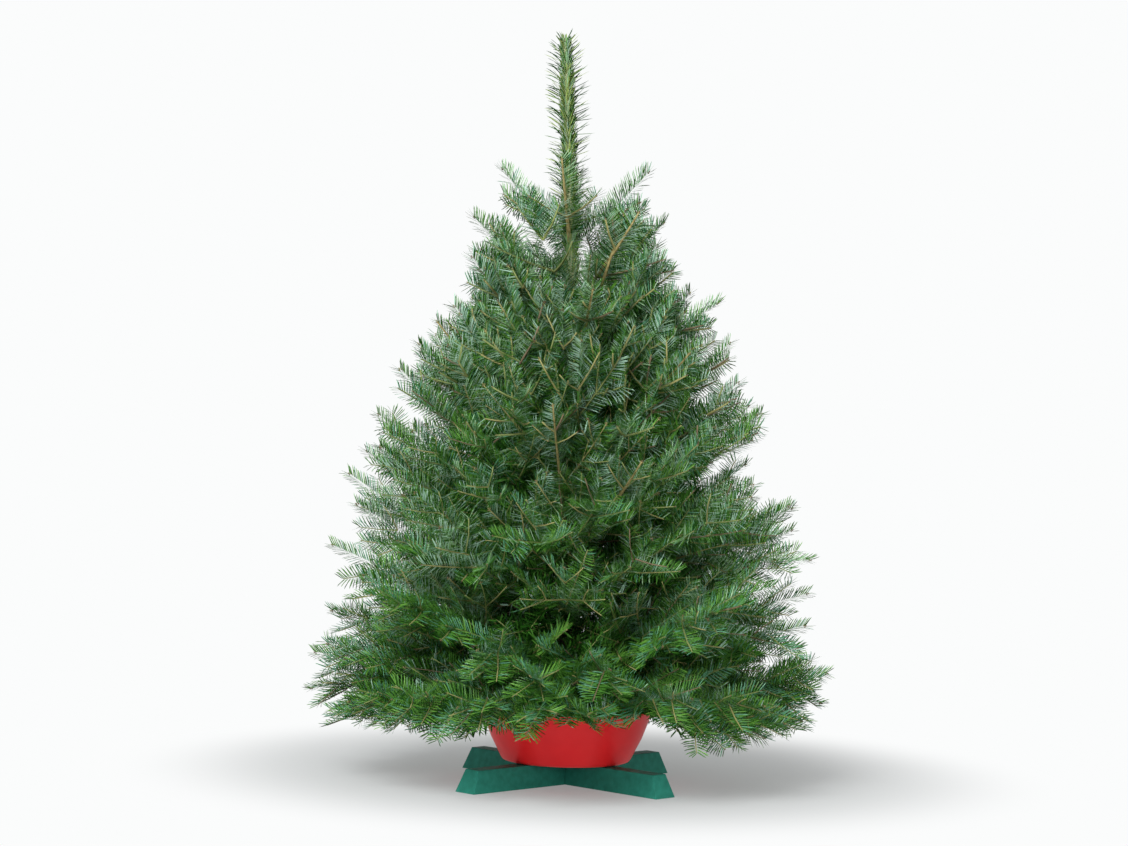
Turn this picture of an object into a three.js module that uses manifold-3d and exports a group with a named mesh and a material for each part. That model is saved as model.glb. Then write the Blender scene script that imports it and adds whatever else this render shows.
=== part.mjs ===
// A small cut fir for a table top, three quarters of a metre tall with its stand. The trunk is
// screwed down into a red water bowl, and the bowl sits on two green legs of pressed sheet steel
// that cross at right angles. Boughs leave the trunk in whorls and end in flat fans of needles.
// Millimetres, +Z up, -Y to the front. The origin is on the table, under the middle of the stand.
import * as THREE from 'three';
import { mergeVertices } from 'three/addons/utils/BufferGeometryUtils.js';
import Module from 'manifold-3d';

const wasm = await Module();
wasm.setup();

// Driving dimensions. GAP is the clearance kept between two solids that meet, and SLIVER the length
// below which a fused solid's edges are merged.
const GAP = 0.3;
const SLIVER = 0.02;

// The trunk, from its flat cut on the bowl's floor to the bud of the leader. It leans to the left,
// mostly in the leader: the tip stands `lean` off the vertical, growing with a power of the height.
const TRUNK = { foot: 24.6, crown: 522, tip: 741, footRadius: 14, crownRadius: 4.2, tipRadius: 2.2,
  lean: -19, leanPower: 2.5, sides: 10, steps: 8 };

// Whorls of boughs from the top down. height is where they leave the trunk, reach the length of a
// bough with its foliage, rise its mean angle above level and curl how much steeper its tip is than
// its root. Neighbours lie higher and lower in turn by sway, and turn is the first one's azimuth.
// bare is the share of the reach that is a bare limb. root is the radius at the trunk and tip the
// radius where the foliage of a bare limb begins.
// nodes are the shares of the reach where a pair of side shoots leaves, and side is their length
// as a share of what is left of the bough there. Angles are in degrees.
const WHORLS = [
  { height: 532, count: 4, reach: 108, rise: 50, curl: 8, sway: 3, turn: -6,
    bare: 0, root: 2.4, nodes: [0.38], side: 0.8 },
  { height: 472, count: 5, reach: 134, rise: 47, curl: 10, sway: 5, turn: 24,
    bare: 0, root: 2.6, nodes: [0.36, 0.64], side: 0.8 },
  { height: 402, count: 5, reach: 162, rise: 38, curl: 14, sway: 8, turn: -12,
    bare: 0, root: 3.0, nodes: [0.3, 0.5, 0.7], side: 0.75 },
  { height: 322, count: 6, reach: 194, rise: 25, curl: 16, sway: 9, turn: 14,
    bare: 0.18, root: 3.6, tip: 2.2, nodes: [0.28, 0.46, 0.68], side: 0.7 },
  { height: 232, count: 6, reach: 236, rise: 11, curl: 14, sway: 11, turn: -14,
    bare: 0.2, root: 4.2, tip: 2.4, nodes: [0.28, 0.42, 0.58, 0.76], side: 0.7 },
  { height: 140, count: 8, reach: 258, rise: 1, curl: 5, sway: 12, turn: -4,
    bare: 0.22, root: 4.6, tip: 2.5, nodes: [0.3, 0.44, 0.59, 0.76], side: 0.7 },
];
const SEED = 14;
const AZIMUTH_JITTER = 4;
const RISE_JITTER = 2;
const REACH_JITTER = 0.03;
const LIMB_SIDES = 5;
const LIMB_STEPS = 2;

// A shoot: a three-sided twig with its ridge on top, whose lower edges are drawn out into teeth of
// needles that lean forward. notch is the width left between teeth and lastTooth that of the last
// one, as shares of the others'. edge is how far the twig's lower edges lie under its middle, as a
// share of its radius. bareRoot is the length with no needles on a side shoot, and bareStem that
// share of a bough that has no bare limb. fork is the angle between a side shoot and its bough,
// bend how far it turns forward along its length, tilt how far the pairs of a bough stand above and
// below the plane of its fan in turn, roll and stemRoll how far the blades of side shoots and of
// boughs turn about their twigs, and longest the most that a side shoot grows.
const SHOOT = { twig: 1.5, tipTwig: 0.7, width: 15, smallWidth: 10, fullLength: 80, notch: 0.42,
  lastTooth: 0.75, edge: 0.5, droop: 0.1, bareRoot: 8, bareStem: 0.2, pitch: 27, rise: 0.35,
  lean: 0.5, fork: 50, bend: 14, jitter: 6, tilt: 26, roll: 40, stemRoll: 26, longest: 96 };
const SHORTENED = [1, 0.82, 0.66];
const LOWEST_NEEDLE = 50;

// The leader: a thin sleeve of young bark round the trunk, with needles that lean up and out.
const LEADER = { from: 552, to: 735, wall: 0.9, firstNeedle: 558, lastNeedle: 731, needles: 26,
  length: 24, radius: 2.8, rise: 47, steps: 3 };
const GOLDEN_ANGLE = Math.PI * (3 - Math.sqrt(5));

// The stand: two inverted troughs of sheet steel, the bowl on them and the screw up its middle.
// step is how far under the upper leg's sheet the lower one passes, riser how far beyond the upper
// leg's foot it steps up again, and hole the clearance round the screw.
const LEG = { length: 274, width: 27, height: 22, endSlope: 9, sideSlope: 4.5, sheet: 1.5,
  step: 0.4, riser: 0.8, hole: 0.4 };
const BOWL = { foot: LEG.height + GAP, floor: 2, wall: 2, footRadius: 62, corner: 3.2, waist: 75.5,
  waistHeight: 46, rimRadius: 86, rim: 75.3, lip: 1.8, lipDrop: 2, segments: 30 };
const SCREW = { radius: 3, headRadius: 6, headHeight: 4, top: 58, headroom: 2, sides: 10 };

const UP = new THREE.Vector3(0, 0, 1);
const STEEP = 0.95;
const OVERCUT = 1;
const rad = THREE.MathUtils.degToRad;
const mix = THREE.MathUtils.lerp;

// A stream of repeatable draws from 0 to 1, so that each bough grows the same way every time.
function seededDraws(seed) {
  let state = seed >>> 0;
  return () => {
    state = (state + 0x6d2b79f5) >>> 0;
    let mixed = Math.imul(state ^ (state >>> 15), state | 1);
    mixed ^= mixed + Math.imul(mixed ^ (mixed >>> 7), mixed | 61);
    return ((mixed ^ (mixed >>> 14)) >>> 0) / 4294967296;
  };
}

// A draw spread evenly over -amount to +amount, and one of the two at random.
const spread = (draws, amount) => (2 * draws() - 1) * amount;
const either = (draws, amount) => (draws() < 0.5 ? -amount : amount);

// A closed three.js geometry as a solid that can be joined and cut.
function solidOf(geometry) {
  const bare = geometry.index ? geometry.toNonIndexed() : geometry.clone();
  bare.deleteAttribute('normal');
  bare.deleteAttribute('uv');
  const merged = mergeVertices(bare, 1e-4);
  return new wasm.Manifold(new wasm.Mesh({
    numProp: 3,
    vertProperties: new Float32Array(merged.attributes.position.array),
    triVerts: new Uint32Array(merged.index.array),
  }));
}

// A solid as a named mesh.
function meshOf(name, solid, material) {
  const { numProp, vertProperties, triVerts } = solid.getMesh();
  if (numProp !== 3) throw new Error(`${name} has more than positions`);
  const geometry = new THREE.BufferGeometry();
  geometry.setAttribute('position', new THREE.BufferAttribute(new Float32Array(vertProperties), 3));
  geometry.setIndex(new THREE.BufferAttribute(new Uint32Array(triVerts), 1));
  geometry.computeVertexNormals();
  const mesh = new THREE.Mesh(geometry, material);
  mesh.name = name;
  return mesh;
}

// The largest body of a fused solid, without the slivers that fusing makes. A loose scrap is dropped.
function largestBody(solid) {
  return solid.simplify(SLIVER).decompose().reduce((a, b) => (b.volume() > a.volume() ? b : a));
}

// A line that leaves root along start and turns evenly towards side, by bend in all.
class ArcLine extends THREE.Curve {
  constructor(root, start, side, length, bend) {
    super();
    Object.assign(this, { root, start, side, length, bend });
  }

  getPoint(share) {
    const turned = this.bend * share;
    const scale = this.length / this.bend;
    return this.root.clone()
      .addScaledVector(this.start, Math.sin(turned) * scale)
      .addScaledVector(this.side, (1 - Math.cos(turned)) * scale);
  }

  getTangent(share) {
    const turned = this.bend * share;
    return this.start.clone().multiplyScalar(Math.cos(turned))
      .addScaledVector(this.side, Math.sin(turned));
  }
}

// A tube along a curve from share a to share b, its radius given by a function of the share. It is
// a cylinder whose rings are carried onto the curve.
function tubeAlong(curve, a, b, radiusAt, sides, steps) {
  const tube = new THREE.CylinderGeometry(1, 1, 1, sides, steps);
  const position = tube.attributes.position;
  for (let i = 0; i < position.count; i++) {
    const share = mix(a, b, position.getY(i) + 0.5);
    const centre = curve.getPoint(share);
    const tangent = curve.getTangent(share);
    const level = Math.abs(tangent.z) > STEEP ? new THREE.Vector3(0, 1, 0) : UP;
    const side = new THREE.Vector3().crossVectors(tangent, level).normalize();
    const above = new THREE.Vector3().crossVectors(side, tangent);
    const radius = radiusAt(share);
    centre.addScaledVector(side, position.getX(i) * radius);
    centre.addScaledVector(above, position.getZ(i) * radius);
    position.setXYZ(i, centre.x, centre.y, centre.z);
  }
  return solidOf(tube);
}

// Trunk

const trunkLean = (z) => TRUNK.lean * (z / TRUNK.tip) ** TRUNK.leanPower;

function trunkRadius(z) {
  if (z < TRUNK.crown) {
    return mix(TRUNK.footRadius, TRUNK.crownRadius, (z - TRUNK.foot) / (TRUNK.crown - TRUNK.foot));
  }
  return mix(TRUNK.crownRadius, TRUNK.tipRadius, (z - TRUNK.crown) / (TRUNK.tip - TRUNK.crown));
}

// The trunk's centre line. A share along it is a share of the height from the cut to the bud.
class TrunkLine extends THREE.Curve {
  getPoint(share) {
    const z = mix(TRUNK.foot, TRUNK.tip, share);
    return new THREE.Vector3(trunkLean(z), 0, z);
  }
}
const trunkLine = new TrunkLine();
const trunkShare = (z) => (z - TRUNK.foot) / (TRUNK.tip - TRUNK.foot);

// The trunk, or with a margin the space that everything round it keeps clear of.
function trunkTube(margin, from, to, steps) {
  const radiusAt = (share) => trunkRadius(mix(TRUNK.foot, TRUNK.tip, share)) + margin;
  return tubeAlong(trunkLine, trunkShare(from), trunkShare(to), radiusAt, TRUNK.sides, steps);
}

const trunkRoom = trunkTube(GAP, TRUNK.foot, TRUNK.tip, TRUNK.steps);

// The trunk with its flat cut, bored for the screw a little deeper than the screw goes.
function trunkSolid() {
  const [low, high] = [TRUNK.foot - OVERCUT, SCREW.top + SCREW.headroom];
  const radius = SCREW.radius + GAP;
  const bore = new THREE.CylinderGeometry(radius, radius, high - low, SCREW.sides);
  bore.rotateX(Math.PI / 2).translate(0, 0, (low + high) / 2);
  return trunkTube(0, TRUNK.foot, TRUNK.tip, TRUNK.steps).subtract(solidOf(bore));
}

// Boughs

// The centre line of a bough, from the trunk's centre line to the tip of its foliage.
function boughLine(whorl, index, draws) {
  const azimuth = rad(whorl.turn + (360 * index) / whorl.count + spread(draws, AZIMUTH_JITTER));
  const reach = whorl.reach * (1 + spread(draws, REACH_JITTER));
  const sway = index % 2 ? whorl.sway : -whorl.sway;
  const rise = rad(whorl.rise + sway + spread(draws, RISE_JITTER) - whorl.curl / 2);
  const out = new THREE.Vector3(Math.cos(azimuth), Math.sin(azimuth), 0);
  const start = out.clone().multiplyScalar(Math.cos(rise)).addScaledVector(UP, Math.sin(rise));
  const above = UP.clone().multiplyScalar(Math.cos(rise)).addScaledVector(out, -Math.sin(rise));
  const root = new THREE.Vector3(trunkLean(whorl.height), 0, whorl.height);
  return new ArcLine(root, start, above, reach, rad(whorl.curl));
}

// The bare limb, from the trunk's bark to where its foliage begins.
function boughSolid(whorl, line) {
  const radiusAt = (share) => mix(whorl.root, whorl.tip, share / whorl.bare);
  const limb = tubeAlong(line, 0, whorl.bare, radiusAt, LIMB_SIDES, LIMB_STEPS);
  return largestBody(limb.subtract(trunkRoom));
}

// Foliage

// A shoot along a curve from share a on, its ridge towards `above`. Its rings stand in turn at the
// notches between its teeth and at their tips, and bareRoot of it has no needles.
function shootSolid(curve, a, above, rootRadius, bareRoot) {
  const start = a * curve.length;
  const bladed = curve.length - start - bareRoot;
  const teeth = Math.max(1, Math.round(bladed / SHOOT.pitch));
  const pitch = bladed / teeth;
  const full = mix(SHOOT.smallWidth, SHOOT.width, Math.min(1, bladed / SHOOT.fullLength));
  const shoot = new THREE.CylinderGeometry(0, 1, 1, 3, 2 * teeth + 1);
  const position = shoot.attributes.position;
  for (let i = 0; i < position.count; i++) {
    const ring = Math.round((position.getY(i) + 0.5) * (2 * teeth + 1));
    const corner = Math.abs(position.getX(i)) < 1e-6 ? 0 : Math.sign(position.getX(i));
    const isTip = ring > 0 && ring % 2 === 0;
    const tooth = Math.ceil(ring / 2) - 1;
    const isLast = tooth === teeth - 1 && isTip;
    const along = ring === 0 ? 0 : bareRoot + pitch * (isTip ? tooth + SHOOT.rise : tooth);
    const share = Math.min(1, (start + along) / curve.length);
    const tangent = curve.getTangent(share);
    const across = new THREE.Vector3().crossVectors(tangent, above).normalize();
    const ridge = new THREE.Vector3().crossVectors(across, tangent);
    const radius = mix(rootRadius, SHOOT.tipTwig, along / (bladed + bareRoot));
    const point = curve.getPoint(share);
    if (ring === 2 * teeth + 1) {
      point.copy(curve.getPoint(1));
    } else if (corner === 0) {
      point.addScaledVector(ridge, radius);
    } else if (isTip) {
      const width = full * (isLast ? SHOOT.lastTooth : 1);
      point.addScaledVector(tangent, width * SHOOT.lean).addScaledVector(across, corner * width);
      point.addScaledVector(ridge, -width * SHOOT.droop);
    } else {
      const width = ring < 2 ? radius : Math.max(radius, full * SHOOT.notch);
      point.addScaledVector(across, corner * width).addScaledVector(ridge, -radius * SHOOT.edge);
    }
    position.setXYZ(i, point.x, point.y, point.z);
  }
  return solidOf(shoot);
}

// Whether two solids come closer than the gap.
function touches(a, b) {
  const [p, q] = [a.boundingBox(), b.boundingBox()];
  const apart = p.min.some((low, k) => low > q.max[k] + GAP || q.min[k] > p.max[k] + GAP);
  return !apart && a.minGap(b, 2 * GAP) < GAP;
}

// The direction square to a bough's fan at a share of it, turned about the bough by an angle.
function turnedNormal(line, share, angle) {
  const tangent = line.getTangent(share);
  const side = new THREE.Vector3().crossVectors(tangent, UP).normalize();
  return new THREE.Vector3().crossVectors(side, tangent).applyAxisAngle(tangent, angle);
}

// The pairs of side shoots that a bough's seeded rule gives.
function sideShoots(whorl, line, draws) {
  return whorl.nodes.flatMap((share, node) => [1, -1].map((hand) => {
    const tangent = line.getTangent(share);
    const side = new THREE.Vector3().crossVectors(tangent, UP).normalize();
    const normal = turnedNormal(line, share, 0);
    const fork = rad(SHOOT.fork + spread(draws, SHOOT.jitter));
    const tilt = rad((node % 2 ? 1 : -1) * SHOOT.tilt + spread(draws, SHOOT.jitter));
    const roll = rad(either(draws, SHOOT.roll) + spread(draws, SHOOT.jitter));
    const out = side.clone().multiplyScalar(hand * Math.cos(tilt))
      .addScaledVector(normal, Math.sin(tilt));
    const start = tangent.clone().multiplyScalar(Math.cos(fork)).addScaledVector(out, Math.sin(fork));
    const forward = tangent.clone().multiplyScalar(Math.sin(fork))
      .addScaledVector(out, -Math.cos(fork));
    const above = turnedNormal(line, share, roll);
    const length = Math.min(SHOOT.longest, line.length * (1 - share) * whorl.side);
    return { root: line.getPoint(share), start, forward, above, length };
  }));
}

// Adds a side shoot to a mass, shortened if it must be, or leaves it out where it would touch
// something else or hang too low.
function addShoot(mass, shoot, obstacles) {
  for (const share of SHORTENED) {
    const { root, start, forward, above, length } = shoot;
    const curve = new ArcLine(root, start, forward, length * share, rad(SHOOT.bend));
    const solid = shootSolid(curve, 0, above, SHOOT.twig, SHOOT.bareRoot);
    if (solid.boundingBox().min[2] < LOWEST_NEEDLE) continue;
    if (obstacles.some((other) => touches(solid, other))) continue;
    mass.solids.push(solid);
    return;
  }
}

// The leader's sleeve with its needles, cut clear of the trunk inside it.
function leaderSolid() {
  const sleeve = trunkTube(GAP + LEADER.wall, LEADER.from, LEADER.to, LEADER.steps);
  const needles = Array.from({ length: LEADER.needles }, (_, i) => {
    const z = mix(LEADER.firstNeedle, LEADER.lastNeedle, i / (LEADER.needles - 1));
    const needle = new THREE.ConeGeometry(LEADER.radius, LEADER.length, 3);
    needle.translate(0, LEADER.length / 2, 0).rotateZ(-rad(90 - LEADER.rise));
    needle.rotateX(Math.PI / 2).rotateZ(i * GOLDEN_ANGLE).translate(trunkLean(z), 0, z);
    return solidOf(needle);
  });
  return largestBody(wasm.Manifold.union([sleeve, ...needles]).subtract(trunkRoom));
}

// Stand

// A block along X whose ends and sides slope in from z = low to z = high.
function slopedBlock(length, width, low, high, endSlope, sideSlope) {
  const block = new THREE.BoxGeometry(1, 1, 1);
  const position = block.attributes.position;
  for (let i = 0; i < position.count; i++) {
    const isTop = position.getZ(i) > 0;
    position.setXYZ(i,
      position.getX(i) * (length - (isTop ? 2 * endSlope : 0)),
      position.getY(i) * (width - (isTop ? 2 * sideSlope : 0)),
      isTop ? high : low);
  }
  return block;
}

const END_LEAN = LEG.endSlope / LEG.height;
const SIDE_LEAN = LEG.sideSlope / LEG.height;

// A stretch of the leg's outline up to a height, taken in on every side by `inset`.
function legBlock(length, top, inset) {
  const low = inset > 0 ? -OVERCUT : 0;
  const [dip, rise] = [-low, top - low];
  return slopedBlock(length - 2 * inset + 2 * dip * END_LEAN,
    LEG.width - 2 * inset + 2 * dip * SIDE_LEAN, low, top, rise * END_LEAN, rise * SIDE_LEAN);
}

// A block that covers the leg's middle out to `half` along X.
const middle = (half) => new THREE.BoxGeometry(2 * half, 2 * LEG.width, 3 * LEG.height);

// The hole that the screw passes through in a leg.
function screwHole() {
  const radius = SCREW.radius + LEG.hole;
  const hole = new THREE.CylinderGeometry(radius, radius, 3 * LEG.height, SCREW.sides);
  return solidOf(hole.rotateX(Math.PI / 2));
}

// The leg whose top runs through whole. The other leg passes under it through notches in its sides.
function upperLeg() {
  const shell = solidOf(legBlock(LEG.length, LEG.height, 0))
    .subtract(solidOf(legBlock(LEG.length, LEG.height - LEG.sheet, LEG.sheet)));
  const notch = legBlock(2 * LEG.width, LEG.height - LEG.sheet, -GAP).translate(0, 0, -SLIVER);
  return shell.subtract(solidOf(notch.rotateZ(Math.PI / 2))).subtract(screwHole());
}

// The leg whose top steps down where the other one crosses it.
function lowerLeg() {
  const stepTop = LEG.height - LEG.sheet - LEG.step;
  const riser = LEG.width / 2 + LEG.riser;
  const high = solidOf(legBlock(LEG.length, LEG.height, 0)).subtract(solidOf(middle(riser)));
  const stepped = solidOf(legBlock(LEG.length, stepTop, 0))
    .intersect(solidOf(middle(riser + OVERCUT)));
  const hollowHigh = solidOf(legBlock(LEG.length, LEG.height - LEG.sheet, LEG.sheet))
    .subtract(solidOf(middle(riser + LEG.sheet)));
  const hollowStep = solidOf(legBlock(LEG.length, stepTop - LEG.sheet, LEG.sheet))
    .intersect(solidOf(middle(riser + LEG.sheet + OVERCUT)));
  return high.add(stepped).subtract(hollowHigh.add(hollowStep)).subtract(screwHole());
}

// The bowl: a flat floor, walls that flare out in two slopes, and a small lip turned out.
function bowlSolid() {
  const { foot, floor, wall, footRadius, corner, waist, waistHeight, rimRadius, rim, lip } = BOWL;
  const hole = SCREW.radius + LEG.hole;
  const profile = [
    [hole, foot], [footRadius, foot], [footRadius + corner, foot + corner],
    [waist, waistHeight], [rimRadius, rim - BOWL.lipDrop], [rimRadius + lip, rim - BOWL.lipDrop],
    [rimRadius + lip, rim], [rimRadius - wall, rim], [waist - wall, waistHeight],
    [footRadius + corner - wall, foot + floor + corner], [footRadius - 1, foot + floor],
    [hole, foot + floor], [hole, foot],
  ].map(([r, z]) => new THREE.Vector2(r, z));
  return solidOf(new THREE.LatheGeometry(profile, BOWL.segments).rotateX(Math.PI / 2));
}

// The screw: a hexagon head under the lower leg and a shank up into the trunk's foot.
function screwSolid() {
  const headTop = LEG.height - 2 * LEG.sheet - LEG.step - GAP;
  const head = new THREE.CylinderGeometry(SCREW.headRadius, SCREW.headRadius, SCREW.headHeight, 6);
  head.rotateX(Math.PI / 2).translate(0, 0, headTop - SCREW.headHeight / 2);
  const length = SCREW.top - headTop + OVERCUT;
  const shank = new THREE.CylinderGeometry(SCREW.radius, SCREW.radius, length, SCREW.sides);
  shank.rotateX(Math.PI / 2).translate(0, 0, SCREW.top - length / 2);
  return solidOf(head).add(solidOf(shank));
}

// Materials

const material = (color, roughness, metalness = 0) =>
  new THREE.MeshStandardMaterial({ color, roughness, metalness });
const bark = material(0x6a5443, 0.9);
const limbBark = material(0x85664a, 0.88);
const needleGreen = material(0x2f5a35, 0.6);
const needleBlue = material(0x4c7562, 0.6);
const leaderGreen = material(0x7d8f55, 0.65);
const redPlastic = material(0xd01824, 0.38);
const greenSteel = material(0x17493d, 0.42, 0.1);
const zincSteel = material(0xb4b8bb, 0.4, 0.9);

// Assembly

const tree = new THREE.Group();

const bowl = bowlSolid();
const trunk = trunkSolid();
tree.add(meshOf('trunk', trunk, bark));

const obstacles = [trunkRoom, bowl];
const masses = [];
WHORLS.forEach((whorl, tier) => {
  for (let index = 0; index < whorl.count; index++) {
    const draws = seededDraws(1000 * SEED + 100 * tier + index);
    const line = boughLine(whorl, index, draws);
    const label = `${tier + 1}_${index + 1}`;
    if (whorl.bare) {
      const limb = boughSolid(whorl, line);
      obstacles.push(limb);
      tree.add(meshOf(`bough_${label}`, limb, limbBark));
    }
    const from = whorl.bare + GAP / line.length;
    const bareRoot = whorl.bare ? SHOOT.bareRoot : SHOOT.bareStem * line.length;
    const above = turnedNormal(line, 0.5, rad(either(draws, SHOOT.stemRoll)));
    const stem = shootSolid(line, from, above, whorl.bare ? whorl.tip : whorl.root, bareRoot);
    masses.push({
      name: `foliage_${label}`,
      tier,
      solids: [largestBody(stem.subtract(trunkRoom))],
      shoots: sideShoots(whorl, line, draws),
    });
  }
});

const leader = leaderSolid();
obstacles.push(leader);
const rounds = Math.max(...masses.map((mass) => mass.shoots.length));
for (let round = 0; round < rounds; round++) {
  for (const mass of masses) {
    const others = masses.filter((other) => other !== mass).flatMap((other) => other.solids);
    if (mass.shoots[round]) addShoot(mass, mass.shoots[round], [...obstacles, ...others]);
  }
}
for (const { name, tier, solids } of masses) {
  const colour = tier % 2 ? needleBlue : needleGreen;
  tree.add(meshOf(name, largestBody(wasm.Manifold.union(solids)), colour));
}
tree.add(meshOf('leader_foliage', leader, leaderGreen));

const stand = new THREE.Group();
const cross = new THREE.Group();
cross.rotation.z = Math.PI / 4;
cross.add(meshOf('stand_leg_upper', upperLeg(), greenSteel));
const lower = meshOf('stand_leg_lower', lowerLeg(), greenSteel);
lower.rotation.z = Math.PI / 2;
cross.add(lower);
stand.add(cross, meshOf('water_bowl', bowl, redPlastic), meshOf('stand_screw', screwSolid(), zincSteel));
tree.add(stand);

export default tree;
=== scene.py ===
"""A small cut fir for a table top, in a red water bowl on crossed legs of green sheet steel.

Lengths are in millimetres until a mesh is made, and in metres from then on.
"""
import math

import bmesh
import bpy
import numpy as np
from mathutils import Matrix, Vector, noise
from mathutils.kdtree import KDTree


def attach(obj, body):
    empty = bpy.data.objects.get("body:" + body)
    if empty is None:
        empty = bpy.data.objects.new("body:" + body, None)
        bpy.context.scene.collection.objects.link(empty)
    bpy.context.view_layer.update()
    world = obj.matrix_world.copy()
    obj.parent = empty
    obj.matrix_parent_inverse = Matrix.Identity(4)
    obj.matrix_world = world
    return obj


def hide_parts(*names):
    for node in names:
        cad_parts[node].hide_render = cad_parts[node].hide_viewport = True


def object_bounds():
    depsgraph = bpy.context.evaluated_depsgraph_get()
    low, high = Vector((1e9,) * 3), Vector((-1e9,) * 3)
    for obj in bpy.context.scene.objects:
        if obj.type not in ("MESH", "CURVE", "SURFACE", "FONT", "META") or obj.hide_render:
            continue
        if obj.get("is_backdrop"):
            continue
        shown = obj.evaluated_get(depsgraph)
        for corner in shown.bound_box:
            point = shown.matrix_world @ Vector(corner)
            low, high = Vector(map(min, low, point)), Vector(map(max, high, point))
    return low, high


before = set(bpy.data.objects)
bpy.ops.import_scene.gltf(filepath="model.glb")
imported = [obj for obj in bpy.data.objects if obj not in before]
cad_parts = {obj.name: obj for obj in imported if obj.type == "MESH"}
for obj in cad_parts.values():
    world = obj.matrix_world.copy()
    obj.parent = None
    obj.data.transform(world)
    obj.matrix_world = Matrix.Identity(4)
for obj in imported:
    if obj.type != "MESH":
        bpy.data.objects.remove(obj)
cad_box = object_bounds()
MM = 0.001


# Camera
# It stands 2.6 m in front of the trunk, level, a little under half the tree's height, and it is
# rolled by a degree and a half, as the photograph's legs and bowl lie lower on their right.
CAMERA_PLACE, CAMERA_ROLL, FOCAL_LENGTH = (-0.0104, -2.6, 0.3589), 1.5, 82.98
camera_data = bpy.data.cameras.new("camera")
camera_data.sensor_width = 36
camera_data.lens = FOCAL_LENGTH
camera = bpy.data.objects.new("camera", camera_data)
camera.matrix_world = (
    Matrix.Translation(CAMERA_PLACE)
    @ Matrix.Rotation(math.radians(90), 4, "X")
    @ Matrix.Rotation(math.radians(CAMERA_ROLL), 4, "Z")
)
bpy.context.collection.objects.link(camera)
bpy.context.scene.camera = camera


# Table
# A pale matt table top, grey near the tree, that fades into the white of the surroundings. Part of
# the grey is a glow of its own, so that the tree's shadow stays soft.
TABLE_HALF_WIDTH = 30.0
SHADE_CENTRE, SHADE_FROM, SHADE_TO = (0.02, 0.1, 0), 0.15, 0.5
GLOW_SHARE_AT_TREE, GLOW_AT_TREE = 0.4, 0.6
SURROUNDINGS, SURROUNDINGS_STRENGTH = "fbfcfc", 1.0


def srgb(hexcode):
    """A colour as it is seen, such as 2f5c33, in the linear values that a shader takes."""
    seen = [int(hexcode[i : i + 2], 16) / 255 for i in (0, 2, 4)]
    return (*((c / 12.92 if c < 0.04045 else ((c + 0.055) / 1.055) ** 2.4) for c in seen), 1)


def new_finish(name, colour, roughness):
    """A finish with one shader, and its node tree to hang a pattern on."""
    finish = bpy.data.materials.new(name)
    finish.use_nodes = True
    shader = finish.node_tree.nodes["Principled BSDF"]
    shader.inputs["Base Color"].default_value = srgb(colour)
    shader.inputs["Roughness"].default_value = roughness
    return finish, shader


def new_object(name, mesh, finishes):
    for finish in finishes:
        mesh.materials.append(finish)
    thing = bpy.data.objects.new(name, mesh)
    bpy.context.collection.objects.link(thing)
    return thing


bm = bmesh.new()
bmesh.ops.create_grid(bm, x_segments=1, y_segments=1, size=TABLE_HALF_WIDTH)
table_mesh = bpy.data.meshes.new("table_top")
bm.to_mesh(table_mesh)
bm.free()
card, card_shader = new_finish("card", "d3d7d7", 0.8)
card_shader.inputs["Specular IOR Level"].default_value = 0.2
nodes, links = card.node_tree.nodes, card.node_tree.links
from_shade = nodes.new("ShaderNodeVectorMath")
from_shade.operation = "DISTANCE"
from_shade.inputs[1].default_value = SHADE_CENTRE
links.new(nodes.new("ShaderNodeTexCoord").outputs["Object"], from_shade.inputs[0])
glow = nodes.new("ShaderNodeEmission")
glow.inputs["Color"].default_value = srgb(SURROUNDINGS)
card_or_glow = nodes.new("ShaderNodeMixShader")
for near, far, fades in (
    (GLOW_SHARE_AT_TREE, 1.0, card_or_glow.inputs["Fac"]),
    (GLOW_AT_TREE, SURROUNDINGS_STRENGTH, glow.inputs["Strength"]),
):
    paling = nodes.new("ShaderNodeMapRange")
    paling.interpolation_type = "SMOOTHERSTEP"
    paling.inputs["From Min"].default_value = SHADE_FROM
    paling.inputs["From Max"].default_value = SHADE_TO
    paling.inputs["To Min"].default_value = near
    paling.inputs["To Max"].default_value = far
    links.new(from_shade.outputs["Value"], paling.inputs["Value"])
    links.new(paling.outputs["Result"], fades)
links.new(card_shader.outputs["BSDF"], card_or_glow.inputs[1])
links.new(glow.outputs["Emission"], card_or_glow.inputs[2])
links.new(card_or_glow.outputs["Shader"], nodes["Material Output"].inputs["Surface"])
table_top = new_object("table_top", table_mesh, [card])
table_top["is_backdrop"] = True


# Lights
# Surroundings that are white round the horizon and dimmer overhead, and two broad soft lamps: the
# main one high on the left in front and a weak one on the right.
LAMP_SIZE = 1.4
HORIZON_UP_TO, OVERHEAD_FROM, OVERHEAD_STRENGTH = 0.17, 0.42, 0.38


def soft_lamp(name, place, target, watts):
    lamp_data = bpy.data.lights.new(name, "AREA")
    lamp_data.size = LAMP_SIZE
    lamp_data.energy = watts
    lamp = bpy.data.objects.new(name, lamp_data)
    aim = (Vector(target) - Vector(place)).to_track_quat("-Z", "Y")
    lamp.matrix_world = Matrix.Translation(place) @ aim.to_matrix().to_4x4()
    bpy.context.collection.objects.link(lamp)


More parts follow.
